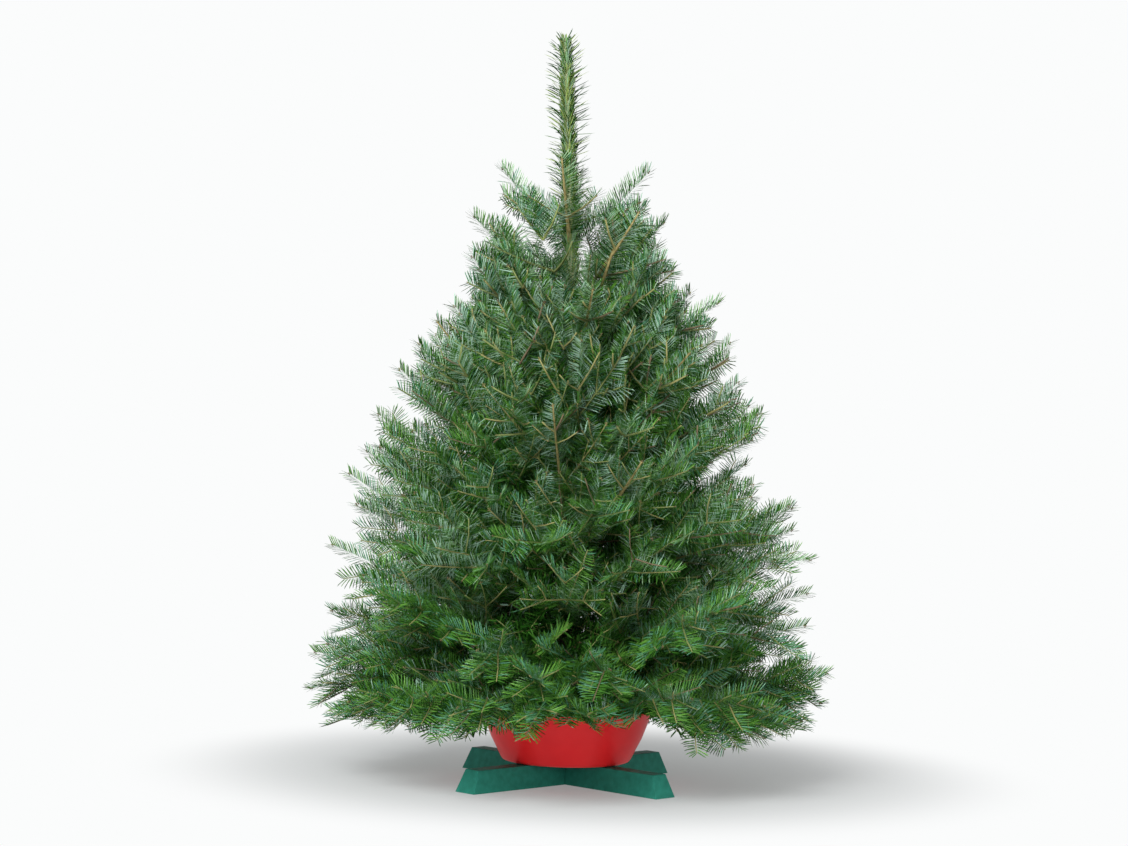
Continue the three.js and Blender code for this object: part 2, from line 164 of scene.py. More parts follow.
soft_lamp("main_lamp", place=(-0.9, -2.5, 2.0), target=(0, 0, 0.35), watts=114)
soft_lamp("side_lamp", place=(2.2, -2.2, 0.9), target=(0, 0, 0.25), watts=13)
surroundings = bpy.data.worlds.new("surroundings")
surroundings.use_nodes = True
nodes, links = surroundings.node_tree.nodes, surroundings.node_tree.links
nodes["Background"].inputs["Color"].default_value = srgb(SURROUNDINGS)
direction = nodes.new("ShaderNodeSeparateXYZ")
links.new(nodes.new("ShaderNodeTexCoord").outputs["Generated"], direction.inputs["Vector"])
overhead = nodes.new("ShaderNodeMapRange")
overhead.interpolation_type = "SMOOTHSTEP"
overhead.inputs["From Min"].default_value = HORIZON_UP_TO
overhead.inputs["From Max"].default_value = OVERHEAD_FROM
overhead.inputs["To Min"].default_value = SURROUNDINGS_STRENGTH
overhead.inputs["To Max"].default_value = OVERHEAD_STRENGTH
links.new(direction.outputs["Z"], overhead.inputs["Value"])
links.new(overhead.outputs["Result"], nodes["Background"].inputs["Strength"])
bpy.context.scene.world = surroundings
bpy.context.scene.view_settings.view_transform = "Standard"


# Stand legs
# Two troughs of 1.5 mm sheet steel pressed with sloping sides and ends, open underneath. One steps
# down under the other where they cross. They are sprayed a dark matt green, and their outer folds
# are rounded.
LEG_EDGE_RADIUS = 0.55
FOLD_ANGLE, SHORTEST_FOLD, CROSSING_RADIUS = 30, 6, 7
JOINED_WITHIN = 1e-6


def add_pattern(finish, shader, scale, detail, ramp, bump=0.0, stretch=(1, 1, 1)):
    """Colours a finish by noise on the piece's own coordinates, and lets it stand out as a bump."""
    nodes, links = finish.node_tree.nodes, finish.node_tree.links
    place = nodes.new("ShaderNodeTexCoord")
    mapping = nodes.new("ShaderNodeMapping")
    mapping.inputs["Scale"].default_value = stretch
    grain = nodes.new("ShaderNodeTexNoise")
    grain.inputs["Scale"].default_value = scale
    grain.inputs["Detail"].default_value = detail
    links.new(place.outputs["Object"], mapping.inputs["Vector"])
    links.new(mapping.outputs["Vector"], grain.inputs["Vector"])
    colours = nodes.new("ShaderNodeValToRGB")
    for i, (position, colour) in enumerate(ramp):
        if i > 1:
            colours.color_ramp.elements.new(position)
        colours.color_ramp.elements[i].position = position
        colours.color_ramp.elements[i].color = srgb(colour)
    links.new(grain.outputs["Fac"], colours.inputs["Fac"])
    links.new(colours.outputs["Color"], shader.inputs["Base Color"])
    if bump:
        relief = nodes.new("ShaderNodeBump")
        relief.inputs["Strength"].default_value = 1.0
        relief.inputs["Distance"].default_value = bump * MM
        links.new(grain.outputs["Fac"], relief.inputs["Height"])
        links.new(relief.outputs["Normal"], shader.inputs["Normal"])
    return colours


green_paint, paint_shader = new_finish("green_paint", "1a5244", 0.55)
add_pattern(
    green_paint, paint_shader, 160, 3, [(0.3, "217161"), (0.52, "267c6b"), (0.75, "2c8574")], 0.05
)
paint_shader.inputs["Specular IOR Level"].default_value = 0.14

for node in ("stand_leg_upper", "stand_leg_lower"):
    bm = bmesh.new()
    bm.from_mesh(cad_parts[node].data)
    bmesh.ops.remove_doubles(bm, verts=bm.verts, dist=JOINED_WITHIN)
    bmesh.ops.dissolve_limit(bm, angle_limit=math.radians(1), verts=bm.verts, edges=bm.edges)
    folds = [
        e
        for e in bm.edges
        if len(e.link_faces) == 2
        and e.calc_face_angle() > math.radians(FOLD_ANGLE)
        and e.calc_length() > SHORTEST_FOLD * MM
        and e.verts[0].co.xy.length > CROSSING_RADIUS * MM
    ]
    bmesh.ops.bevel(
        bm,
        geom=folds,
        offset=LEG_EDGE_RADIUS * MM,
        segments=3,
        profile=0.5,
        affect="EDGES",
        material=-1,
        clamp_overlap=True,
    )
    leg_mesh = bpy.data.meshes.new(node + "_painted")
    bm.to_mesh(leg_mesh)
    bm.free()
    leg = new_object(node + "_painted", leg_mesh, [green_paint])
    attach(leg, "root")
    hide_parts(node)


# Water bowl
# Moulded red plastic: a flat floor with a hole for the screw, walls that flare in two slopes and a
# lip rolled outwards. It is one wall's outline, in mm from the axis and above the table, spun round.
BOWL_STEPS = 96
BOWL_OUTLINE = [
    (3.4, 22.3), (58, 22.3), (61.4, 22.5), (63.6, 23.4), (65.2, 25.5), (70.4, 36), (75.3, 45.4),
    (76.1, 47.5), (81, 60.5), (85.8, 72.6), (86.8, 73.2), (87.5, 73.8), (87.8, 74.6), (87.5, 75.2),
    (86.6, 75.3), (85, 75.2), (84.2, 74.6), (79.1, 60.8), (74.2, 47.9), (73.2, 45.8), (68.4, 36.6),
    (63.2, 26.8), (61.8, 25.1), (60, 24.4), (57, 24.3), (3.4, 24.3),
]

red_plastic, plastic_shader = new_finish("red_plastic", "d3222c", 0.36)
add_pattern(
    red_plastic, plastic_shader, 22, 2, [(0.3, "ec1c24"), (0.55, "f6242a"), (0.8, "fa2e30")], 0.03
)
plastic_shader.inputs["Specular IOR Level"].default_value = 0.35
plastic_shader.inputs["Subsurface Weight"].default_value = 0.08
plastic_shader.inputs["Subsurface Radius"].default_value = (0.004, 0.001, 0.001)

bm = bmesh.new()
outline = [bm.verts.new((r * MM, 0, z * MM)) for r, z in BOWL_OUTLINE]
rim_edges = [bm.edges.new(pair) for pair in zip(outline, outline[1:] + outline[:1])]
bmesh.ops.spin(
    bm,
    geom=outline + rim_edges,
    axis=(0, 0, 1),
    cent=(0, 0, 0),
    steps=BOWL_STEPS,
    angle=math.tau,
    use_merge=True,
)
bmesh.ops.remove_doubles(bm, verts=bm.verts, dist=JOINED_WITHIN)
bmesh.ops.recalc_face_normals(bm, faces=bm.faces)
for face in bm.faces:
    face.smooth = True
bowl_mesh = bpy.data.meshes.new("bowl")
bm.to_mesh(bowl_mesh)
bm.free()
bowl = new_object("bowl", bowl_mesh, [red_plastic])
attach(bowl, "root")
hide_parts("water_bowl")


# Screw
# A zinc plated screw up through the legs and the bowl into the foot of the trunk. It is hidden in
# the photograph. The solid already has its hexagon head and its shank.
zinc, zinc_shader = new_finish("zinc", "b9bdbf", 0.35)
add_pattern(zinc, zinc_shader, 300, 4, [(0.35, "a4a8aa"), (0.7, "c6c9ca")], 0.02)
zinc_shader.inputs["Metallic"].default_value = 1.0
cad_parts["stand_screw"].data.materials.clear()
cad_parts["stand_screw"].data.materials.append(zinc)


# Trunk
# One stem, leaning a little, from its flat saw cut on the bowl's floor to the bud of the leader.
# The bark is grey brown and a little scaly at the foot, with low ridges and resin blisters, and it
# turns smooth and pale olive in the youngest years. It swells a little at its lower whorls.
TRUNK = {
    "foot": 24.6, "crown": 522, "tip": 741, "foot_radius": 14, "crown_radius": 4.2,
    "tip_radius": 2.2, "lean": -19, "lean_power": 2.5,
}
TRUNK_SIDES, TRUNK_RING = 30, 3.0
RIDGE_SIZE, RIDGE_DEPTH, FULL_DEPTH_RADIUS, SAW_CUT_DEPTH = 3.2, 0.9, 11, 0.2
RIDGE_STRETCH, SCALE_FINENESS, BLISTER_SIZE, BLISTERS_ABOVE = 3.2, 2.3, 1.7, 0.32
RELIEF_OF = {"ridges": 0.55, "scales": 0.3, "blisters": 1.6}
SWELL, SWELL_HEIGHT = 0.07, 9
YOUNG_BARK_FROM, YOUNG_BARK_TO = 0.36, 0.5


def mix(a, b, share):
    return a + (b - a) * share


def trunk_lean(z):
    return TRUNK["lean"] * (z / TRUNK["tip"]) ** TRUNK["lean_power"]


def trunk_radius(z):
    if z < TRUNK["crown"]:
        share = (z - TRUNK["foot"]) / (TRUNK["crown"] - TRUNK["foot"])
        return mix(TRUNK["foot_radius"], TRUNK["crown_radius"], share)
    share = (z - TRUNK["crown"]) / (TRUNK["tip"] - TRUNK["crown"])
    return mix(TRUNK["crown_radius"], TRUNK["tip_radius"], share)


def carry_onto(bm, sides, rings, place):
    """Adds a closed tube and carries each of its points to place(share, angle), in mm."""
    before = set(bm.verts)
    tube = bmesh.ops.create_cone(bm, cap_ends=True, segments=sides, radius1=1, radius2=1, depth=1)
    upright = [
        e
        for e in {e for v in tube["verts"] for e in v.link_edges}
        if abs(e.verts[0].co.z - e.verts[1].co.z) > 0.5
    ]
    bmesh.ops.subdivide_edges(bm, edges=upright, cuts=rings - 1)
    for vert in [v for v in bm.verts if v not in before]:
        share, angle = vert.co.z + 0.5, math.atan2(vert.co.y, vert.co.x)
        vert.co = place(share, angle) * MM


def bark_relief(point, size, depth):
    """How far bark stands out at a point: ridges along the stem, scales across it and blisters."""
    x, y, z = point.x / size, point.y / size, point.z / size
    ridges = noise.noise(Vector((x, y, point.z / (RIDGE_STRETCH * size))))
    scales = noise.noise(Vector((x * SCALE_FINENESS, y * SCALE_FINENESS, z)))
    elsewhere = point / (BLISTER_SIZE * size) + Vector((31, 7, 3))
    blisters = max(0.0, noise.noise(elsewhere) - BLISTERS_ABOVE)
    return depth * (
        RELIEF_OF["ridges"] * ridges
        + RELIEF_OF["scales"] * scales
        + RELIEF_OF["blisters"] * blisters
    )


def trunk_point(share, angle):
    z = mix(TRUNK["foot"], TRUNK["tip"], share)
    radius = trunk_radius(z)
    around = Vector((math.cos(angle), math.sin(angle), 0))
    depth = SAW_CUT_DEPTH
    if z > TRUNK["foot"] + 1:
        depth = RIDGE_DEPTH * min(1.0, radius / FULL_DEPTH_RADIUS)
    near_whorls = sum(
        math.exp(-(((z - w["height"]) / SWELL_HEIGHT) ** 2)) for w in WHORLS[2:]
    )
    swell = near_whorls * SWELL * radius
    point = Vector((trunk_lean(z), 0, z)) + around * radius
    return point + around * (bark_relief(point, RIDGE_SIZE, depth) + swell)


# Whorls of boughs, by the same named sizes and the same seeded rule as the solids: how high they
# leave the trunk, how many, how far they reach, how steeply they rise and where they fork.
WHORLS = [
    {"height": 532, "count": 4, "reach": 108, "rise": 50, "curl": 8, "sway": 3, "turn": -6,
     "bare": 0, "root": 2.4, "nodes": [0.38], "side": 0.8},
    {"height": 472, "count": 5, "reach": 134, "rise": 47, "curl": 10, "sway": 5, "turn": 24,
     "bare": 0, "root": 2.6, "nodes": [0.36, 0.64], "side": 0.8},
    {"height": 402, "count": 5, "reach": 162, "rise": 38, "curl": 14, "sway": 8, "turn": -12,
     "bare": 0, "root": 3.0, "nodes": [0.3, 0.5, 0.7], "side": 0.75},
    {"height": 322, "count": 6, "reach": 194, "rise": 25, "curl": 16, "sway": 9, "turn": 14,
     "bare": 0.18, "root": 3.6, "tip": 2.2, "nodes": [0.28, 0.46, 0.68], "side": 0.7},
    {"height": 232, "count": 6, "reach": 236, "rise": 11, "curl": 14, "sway": 11, "turn": -14,
     "bare": 0.2, "root": 4.2, "tip": 2.4, "nodes": [0.28, 0.42, 0.58, 0.76], "side": 0.7},
    {"height": 140, "count": 8, "reach": 258, "rise": 1, "curl": 5, "sway": 12, "turn": -4,
     "bare": 0.22, "root": 4.6, "tip": 2.5, "nodes": [0.3, 0.44, 0.59, 0.76], "side": 0.7},
]
SEED, AZIMUTH_JITTER, RISE_JITTER, REACH_JITTER = 14, 4, 2, 0.03
FORK, TILT, ROLL, STEM_ROLL, BEND, JITTER, LONGEST = 50, 26, 40, 26, 14, 6, 96
SHORTENED = (1, 0.82, 0.66)
UP = Vector((0, 0, 1))

bark, bark_shader = new_finish("bark", "6b5848", 0.86)
bark_colours = add_pattern(
    bark, bark_shader, 190, 6, [(0.28, "43352b"), (0.5, "6f5c4b"), (0.72, "93836d")], 0.5,
    (1, 1, 0.45),
)
nodes, links = bark.node_tree.nodes, bark.node_tree.links
height_on_trunk = nodes.new("ShaderNodeSeparateXYZ")
links.new(
    next(n for n in nodes if n.type == "TEX_COORD").outputs["Object"],
    height_on_trunk.inputs["Vector"],
)
youth = nodes.new("ShaderNodeMapRange")
youth.inputs["From Min"].default_value = YOUNG_BARK_FROM
youth.inputs["From Max"].default_value = YOUNG_BARK_TO
links.new(height_on_trunk.outputs["Z"], youth.inputs["Value"])
young_or_old = nodes.new("ShaderNodeMix")
young_or_old.data_type = "RGBA"
links.new(youth.outputs["Result"], young_or_old.inputs["Factor"])
links.new(bark_colours.outputs["Color"], young_or_old.inputs["A"])
young_or_old.inputs["B"].default_value = srgb("969c78")
links.new(young_or_old.outputs["Result"], bark_shader.inputs["Base Color"])

bm = bmesh.new()
carry_onto(bm, TRUNK_SIDES, round((TRUNK["tip"] - TRUNK["foot"]) / TRUNK_RING), trunk_point)
bmesh.ops.recalc_face_normals(bm, faces=bm.faces)
for face in bm.faces:
    face.smooth = len(face.verts) == 4
trunk_mesh = bpy.data.meshes.new("trunk_bark")
bm.to_mesh(trunk_mesh)
bm.free()
trunk = new_object("trunk_bark", trunk_mesh, [bark])
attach(trunk, "root")
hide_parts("trunk")


# Boughs
# Each leaves the trunk in its whorl as one limb that tapers out to its own tip through the middle
# of its fan, brown and rough where it is old and olive where it is young. Pairs of side shoots
# fork from it.
MASK = 0xFFFFFFFF
LIMB_TIP_RADIUS, COLLAR, COLLAR_LENGTH = 0.8, 0.45, 9
LIMB_RIDGE_SIZE, LIMB_RIDGE_DEPTH = 1.6, 0.22
LIMB_RING, FEWEST_RINGS = 7, 12


def seeded_draws(seed):
    """The same repeatable draws from 0 to 1 as the solids' rule takes."""
    state = seed & MASK
    while True:
        state = (state + 0x6D2B79F5) & MASK
        mixed = (state ^ (state >> 15)) * (state | 1) & MASK
        mixed ^= (mixed + (mixed ^ (mixed >> 7)) * (mixed | 61)) & MASK
        yield ((mixed ^ (mixed >> 14)) & MASK) / 4294967296


def spread(draws, amount):
    return (2 * next(draws) - 1) * amount


def either(draws, amount):
    return -amount if next(draws) < 0.5 else amount


class Shoot:
    """A stem that leaves root along start and turns evenly towards side, by bend in all."""

    def __init__(self, root, start, side, length, bend, above):
        self.root, self.start, self.side = (np.array(v) for v in (root, start, side))
        self.length, self.bend, self.above = length, bend, np.array(above)

    def at(self, share):
        turned, scale = self.bend * share, self.length / self.bend
        ahead = np.multiply.outer(np.sin(turned) * scale, self.start)
        return self.root + ahead + np.multiply.outer((1 - np.cos(turned)) * scale, self.side)

    def heading(self, share):
        turned = self.bend * share
        return np.multiply.outer(np.cos(turned), self.start) + np.multiply.outer(
            np.sin(turned), self.side
        )


def turned_normal(shoot, share, angle):
    """The direction square to a bough's fan, turned about the bough by an angle."""
    tangent = Vector(shoot.heading(share))
    across = tangent.cross(UP).normalized()
    return Matrix.Rotation(angle, 3, tangent) @ across.cross(tangent)


def bough_of(whorl, index, draws):
    """One bough of a whorl, by the same draws as its solid."""
    azimuth = math.radians(
        whorl["turn"] + 360 * index / whorl["count"] + spread(draws, AZIMUTH_JITTER)
    )
    reach = whorl["reach"] * (1 + spread(draws, REACH_JITTER))
    sway = whorl["sway"] if index % 2 else -whorl["sway"]
    rise = math.radians(whorl["rise"] + sway + spread(draws, RISE_JITTER) - whorl["curl"] / 2)
    out = Vector((math.cos(azimuth), math.sin(azimuth), 0))
    start = out * math.cos(rise) + UP * math.sin(rise)
    above = UP * math.cos(rise) - out * math.sin(rise)
    root = Vector((trunk_lean(whorl["height"]), 0, whorl["height"]))
    bough = Shoot(root, start, above, reach, math.radians(whorl["curl"]), above)
    roll = math.radians(either(draws, whorl.get("stem_roll", STEM_ROLL)))
    bough.above = np.array(turned_normal(bough, 0.5, roll))
    return bough


def side_shoots_of(whorl, bough, draws):
    """The pairs of side shoots that the rule gives."""
    found = []
    for node, share in enumerate(whorl["nodes"]):
        for hand in (1, -1):
            tangent = Vector(bough.heading(share))
            across = tangent.cross(UP).normalized()
            normal = turned_normal(bough, share, 0)
            fork = math.radians(whorl.get("fork", FORK) + spread(draws, JITTER))
            tilt = math.radians((TILT if node % 2 else -TILT) + spread(draws, JITTER))
            roll = math.radians(either(draws, whorl.get("roll", ROLL)) + spread(draws, JITTER))
            out = across * hand * math.cos(tilt) + normal * math.sin(tilt)
            start = tangent * math.cos(fork) + out * math.sin(fork)
            forward = tangent * math.sin(fork) - out * math.cos(fork)
            above = turned_normal(bough, share, roll)
            length = min(LONGEST, bough.length * (1 - share) * whorl["side"])
            found.append(
                Shoot(bough.at(share), start, forward, length, math.radians(BEND), above)
            )
    return found


def as_grown(shoots, node_name):
    """Only the side shoots that the solid has, each as long as the solid could have it."""
    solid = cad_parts[node_name].data
    corners = KDTree(len(solid.vertices))
    for i, vert in enumerate(solid.vertices):
        corners.insert(vert.co, i)
    corners.balance()
    found = []
    for shoot in shoots:
        for kept in SHORTENED:
            grown = Shoot(
                shoot.root, shoot.start, shoot.side, shoot.length * kept, shoot.bend, shoot.above
            )
            if corners.find(Vector(grown.at(1.0)) * MM)[2] < 0.5 * MM:
                found.append(grown)
                break
    return found


def limb_radius(whorl, share):
    """Half the thickness of a bough at a share of its reach, as in the solids."""
    if share < whorl["bare"]:
        return mix(whorl["root"], whorl["tip"], share / whorl["bare"])
    start = whorl["tip"] if whorl["bare"] else whorl["root"]
    return mix(start, LIMB_TIP_RADIUS, (share - whorl["bare"]) / (1 - whorl["bare"]))


def add_limb(bm, whorl, bough):
    """A limb with bark relief and a collar where it leaves the trunk."""

    def place(share, angle):
        tangent = Vector(bough.heading(share))
        across = tangent.cross(UP).normalized()
        around = across * math.cos(angle) + across.cross(tangent) * math.sin(angle)
        collar = COLLAR * math.exp(-share * bough.length / COLLAR_LENGTH)
        radius = limb_radius(whorl, share) * (1 + collar)
        point = Vector(bough.at(share)) + around * radius
        return point + around * bark_relief(point, LIMB_RIDGE_SIZE, LIMB_RIDGE_DEPTH * radius)

    rings = max(FEWEST_RINGS, round(bough.length / LIMB_RING))
    carry_onto(bm, 6 if whorl in WHORLS else 5, rings, place)


# Lighter boughs grow from the trunk between the whorls by the same rule, each a golden angle round
# from the last, and reach out to the crown's outline. CROWN gives its radius at some heights and
# RISE how steeply a bough rises. Pairs of values run from the lowest bough to the highest.
GOLDEN_ANGLE = 137.508
CROWN = [
    (60, 240), (100, 258), (140, 251), (190, 249), (230, 243), (290, 225), (350, 198), (420, 175),
    (460, 145), (500, 100), (560, 84), (610, 74),
]
RISE = [(95, -8), (125, 0), (150, 13), (190, 24), (232, 34), (322, 48), (402, 55), (532, 60)]
LIGHTER = {
    "count": 142, "height": (94, 428), "thinning": 1.25, "sway": 6, "curl": 16, "bare": 0.34,
    "root": (2.8, 2.2), "tip": 1.9, "first_fork": (56, 44), "fork_step": (46, 86),
    "last_fork": 0.84, "side": (0.72, 0.82), "fork": (48, 36), "roll": 55, "stem_roll": 42,
    "shorter": 0.05,
}
LIGHTER_GROUPS = ("low", "middle", "high", "top")
LIGHTER_SEED = 700
STEM_SHOWS_FROM, STEM_SHOWS_ANGLE, YOUNG_FROM = 400, 32, 150
WIDEST = 258
PAST_CROWN = 3
BOWL_SPACE, NEAR_BOWL, FRONT_HALF_WIDTH, FRONT_LEFT_EDGE = 104, 132, 95, -25
LOWEST = {"over_bowl": 95, "near_bowl": 66, "front_left": 66, "front_right": 81, "outside": 53}
TIP_ABOVE_LOWEST = 5


def at_height(table, z):
    return float(np.interp(z, [row[0] for row in table], [row[1] for row in table]))


def underside(x, y):
    """How low a shoot may end at a place: higher over the bowl, and in front of it on the right."""
    out = math.hypot(x, y)
    if out < BOWL_SPACE:
        return LOWEST["over_bowl"]
    if y < 0 and abs(x) < FRONT_HALF_WIDTH:
        return LOWEST["front_left" if x < FRONT_LEFT_EDGE else "front_right"]
    return LOWEST["near_bowl" if out < NEAR_BOWL else "outside"]


def lighter_bough(index, draws):
    """The named sizes of one of the boughs between the whorls."""
    up = (index / (LIGHTER["count"] - 1)) ** LIGHTER["thinning"]
    height = mix(*LIGHTER["height"], up)
    rise = at_height(RISE, height) + spread(draws, LIGHTER["sway"])
    turn = math.radians(GOLDEN_ANGLE * index)
    lowest = TIP_ABOVE_LOWEST + underside(WIDEST * math.cos(turn), WIDEST * math.sin(turn))
    rise = max(rise, math.degrees(math.atan((lowest - height) / WIDEST)))
    slope = math.radians(rise)
    reach = next(
        r
        for r in range(50, 300, 2)
        if r * math.cos(slope) > at_height(CROWN, height + r * math.sin(slope))
    )
    reach *= 1 - LIGHTER["shorter"] * next(draws)
    forks = np.arange(
        mix(*LIGHTER["first_fork"], up) / reach,
        LIGHTER["last_fork"],
        mix(*LIGHTER["fork_step"], up) / reach,
    )
    fixed = {key: LIGHTER[key] for key in ("curl", "bare", "tip", "roll", "stem_roll")}
    growing = {key: mix(*LIGHTER[key], up) for key in ("root", "side", "fork")}
    return {**fixed, **growing, "height": height, "count": 1, "reach": reach, "rise": rise,
            "sway": 0, "turn": GOLDEN_ANGLE * index, "nodes": list(forks)}


def hides_stem(whorl):
    """Whether a bough would stand before the part of the stem that shows in front."""
    from_front = (whorl["turn"] + 90 + 180) % 360 - 180
    return whorl["height"] > STEM_SHOWS_FROM and abs(from_front) < STEM_SHOWS_ANGLE


limb_bark, limb_shader = new_finish("limb_bark", "7d634a", 0.84)
add_pattern(
    limb_bark, limb_shader, 260, 5, [(0.3, "57432f"), (0.5, "80664a"), (0.72, "a58a66")], 0.3
)
young_bark, young_shader = new_finish("young_bark", "8f8250", 0.8)
add_pattern(
    young_bark, young_shader, 320, 4, [(0.3, "6f6238"), (0.5, "8e8250"), (0.72, "a89b68")], 0.15
)


def fits(shoot):
    """Whether a shoot stays in the crown's outline, above its underside and outside the bowl."""
    x, y, z = shoot.at(1.0)
    return z > underside(x, y) and math.hypot(x, y) < at_height(CROWN, z) + PAST_CROWN


def limb_piece(name, group, replaced, finish):
    """Joins the limbs of a group of boughs into one piece of bark."""
    bm = bmesh.new()
    for bough in group:
        add_limb(bm, bough["sizes"], bough["stem"])
    bmesh.ops.recalc_face_normals(bm, faces=bm.faces)
    for face in bm.faces:
        face.smooth = len(face.verts) == 4
    limb_mesh = bpy.data.meshes.new(name)
    bm.to_mesh(limb_mesh)
    bm.free()
    limbs = new_object(name, limb_mesh, [finish])
    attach(limbs, "root")
    if replaced:
        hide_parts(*replaced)


groups = {}
for tier, whorl in enumerate(WHORLS):
    group = groups[f"whorl_{tier + 1}"] = []
    for index in range(whorl["count"]):
        draws = seeded_draws(1000 * SEED + 100 * tier + index)
        bough = bough_of(whorl, index, draws)
        shoots = side_shoots_of(whorl, bough, draws)
        shoots = as_grown(shoots, f"foliage_{tier + 1}_{index + 1}")
        group.append({"sizes": whorl, "stem": bough, "sides": shoots})
for index in range(LIGHTER["count"]):
    draws = seeded_draws(1000 * SEED + LIGHTER_SEED + index)
    whorl = lighter_bough(index, draws)
    if hides_stem(whorl):
        continue
    bough = bough_of(whorl, 0, draws)
    shoots = [s for s in side_shoots_of(whorl, bough, draws) if fits(s)]
    name = LIGHTER_GROUPS[len(LIGHTER_GROUPS) * index // LIGHTER["count"]]
    groups.setdefault(f"lighter_{name}", []).append(
        {"sizes": whorl, "stem": bough, "sides": shoots}
    )
for name, group in groups.items():
    replaced = []
    if name in ("whorl_4", "whorl_5", "whorl_6"):
        replaced = [f"bough_{name[-1]}_{i + 1}" for i in range(len(group))]
    finish = young_bark if group[0]["sizes"]["height"] > YOUNG_FROM else limb_bark
    limb_piece(f"boughs_{name}", group, replaced, finish)


# Twigs
# Slim tapering stems of three sides, tan, olive or grey brown, joined into one piece a group. Side
# shoots grow pairs of finer twigs, single ones stand on or hang under the limbs, and short shoots
# straight from the trunk fill the middle of the crown.
TWIG_SIDES, TWIG_RING, FEWEST_TWIG_RINGS = 3, 16.0, 3
TWIG_ROOT, TWIG_TIP, TWIG_KNOTS = {"sides": 1.0, "fine": 0.8}, 0.5, (0.9, 1.12)
STOUT, STOUT_FROM = 1.6, 340
FINER_UP_TO, FORKED_TIP_UP_TO, HANGING_UP_TO, LOW_TIP = 350, 430, 150, 105
# Each kind of twig by its own sizes: bends are in radians and the other angles in degrees.
FINE = {
    "fork": 44, "fork_sway": 7, "bend": math.radians(16), "tilt": (-16, 22), "roll": 25,
    "slip": 0.02, "length": (0.8, 1.1),
}
STANDING = {
    "fork": (36, 52), "lean": (15, 52), "bend": 0.2, "length": (0.7, 1.05),
    "along": (0.2, 0.56), "step": 44,
}
HANGING = {"along": (0.34, 0.92), "step": 18, "along_sides": (0.35, 0.75)}
ON_TRUNK = {
    "heights": (100, 440, 2.0), "low": 112, "over": 330, "rise": (9, 50), "rise_sway": 10,
    "bend": 0.25, "longest": (118, 66), "length": (0.7, 1.05),
}
rng = np.random.default_rng(SEED)


def finer_shoots(parent, shares, length_share, shortest):
    """Pairs of twigs that fork from a shoot, in its own plane with a little disorder."""
    grown = []
    for share in shares:
        for hand in (1, -1):
            length = parent.length * (1 - share) * length_share * rng.uniform(*FINE["length"])
            if length < shortest:
                continue
            tangent = Vector(parent.heading(share))
            above = Vector(parent.above)
            above = (above - tangent * above.dot(tangent)).normalized()
            tilt = math.radians(rng.uniform(*FINE["tilt"]))
            fork = math.radians(FINE["fork"] + rng.uniform(-FINE["fork_sway"], FINE["fork_sway"]))
            across = tangent.cross(above) * hand
            out = across * math.cos(tilt) + above * math.sin(tilt)
            start = tangent * math.cos(fork) + out * math.sin(fork)
            forward = tangent * math.sin(fork) - out * math.cos(fork)
            roll = math.radians(rng.uniform(-FINE["roll"], FINE["roll"]))
            facing = Matrix.Rotation(roll, 3, start) @ above
            root = parent.at(share + rng.uniform(-FINE["slip"], FINE["slip"]))
            grown.append(Shoot(root, start, forward, length, FINE["bend"], facing))
    return grown


def standing_shoots(parent, shares, longest, up=1):
    """Single shoots that stand up from a limb, or hang under it, on one side and the other."""
    grown = []
    for i, share in enumerate(shares):
        tangent = Vector(parent.heading(share))
        angle = math.radians(rng.uniform(*STANDING["lean"]) * (1 if i % 2 else -1))
        across = tangent.cross(UP).normalized()
        out = across.cross(tangent) * math.cos(angle) * up + across * math.sin(angle)
        fork = math.radians(rng.uniform(*STANDING["fork"]))
        start = (tangent * math.cos(fork) + out * math.sin(fork)).normalized()
        forward = tangent * math.sin(fork) - out * math.cos(fork)
        length = longest * rng.uniform(*STANDING["length"])
        above = across.cross(tangent) if up < 0 else tangent
        grown.append(Shoot(parent.at(share), start, forward, length, STANDING["bend"], above))
    return grown


def trunk_shoots():
    """Short shoots straight from the trunk, by the golden angle, that fill the crown's middle."""
    grown = []
    sway = ON_TRUNK["rise_sway"]
    for i, z in enumerate(np.arange(*ON_TRUNK["heights"])):
        azimuth = math.radians(i * GOLDEN_ANGLE)
        up = (z - ON_TRUNK["low"]) / ON_TRUNK["over"]
        out = Vector((math.cos(azimuth), math.sin(azimuth), 0))
        rise = math.radians(mix(*ON_TRUNK["rise"], up) + rng.uniform(-sway, sway))
        start = out * math.cos(rise) + UP * math.sin(rise)
        forward = UP * math.cos(rise) - out * math.sin(rise)
        length = mix(*ON_TRUNK["longest"], up) * rng.uniform(*ON_TRUNK["length"])
        root = Vector((trunk_lean(z), 0, z))
        grown.append(Shoot(root, start, forward, length, ON_TRUNK["bend"], forward))
    return grown


for group in groups.values():
    for bough in group:
        stem, sizes = bough["stem"], bough["sizes"]
        fine = []
        if sizes["height"] < FINER_UP_TO:
            for shoot in bough["sides"]:
                fine += finer_shoots(shoot, shares=(0.42,), length_share=0.66, shortest=24)
            shares = np.arange(*STANDING["along"], STANDING["step"] / stem.length)
            fine += standing_shoots(stem, shares, longest=40 + 0.1 * stem.length)
        if sizes["height"] < FORKED_TIP_UP_TO:
            last_fork = max(sizes["nodes"])
            beyond = last_fork + 0.4 * (1 - last_fork)
            fine += finer_shoots(stem, shares=(beyond,), length_share=0.8, shortest=18)
        if sizes["height"] < HANGING_UP_TO:
            shares = np.arange(*HANGING["along"], HANGING["step"] / stem.length)
            fine += standing_shoots(stem, shares, longest=46, up=-1)
            for shoot in bough["sides"]:
                if shoot.at(1.0)[2] < LOW_TIP:
                    fine += standing_shoots(shoot, HANGING["along_sides"], longest=34, up=-1)
        bough["fine"] = [shoot for shoot in fine if fits(shoot)]
middle = {"sides": trunk_shoots(), "fine": []}
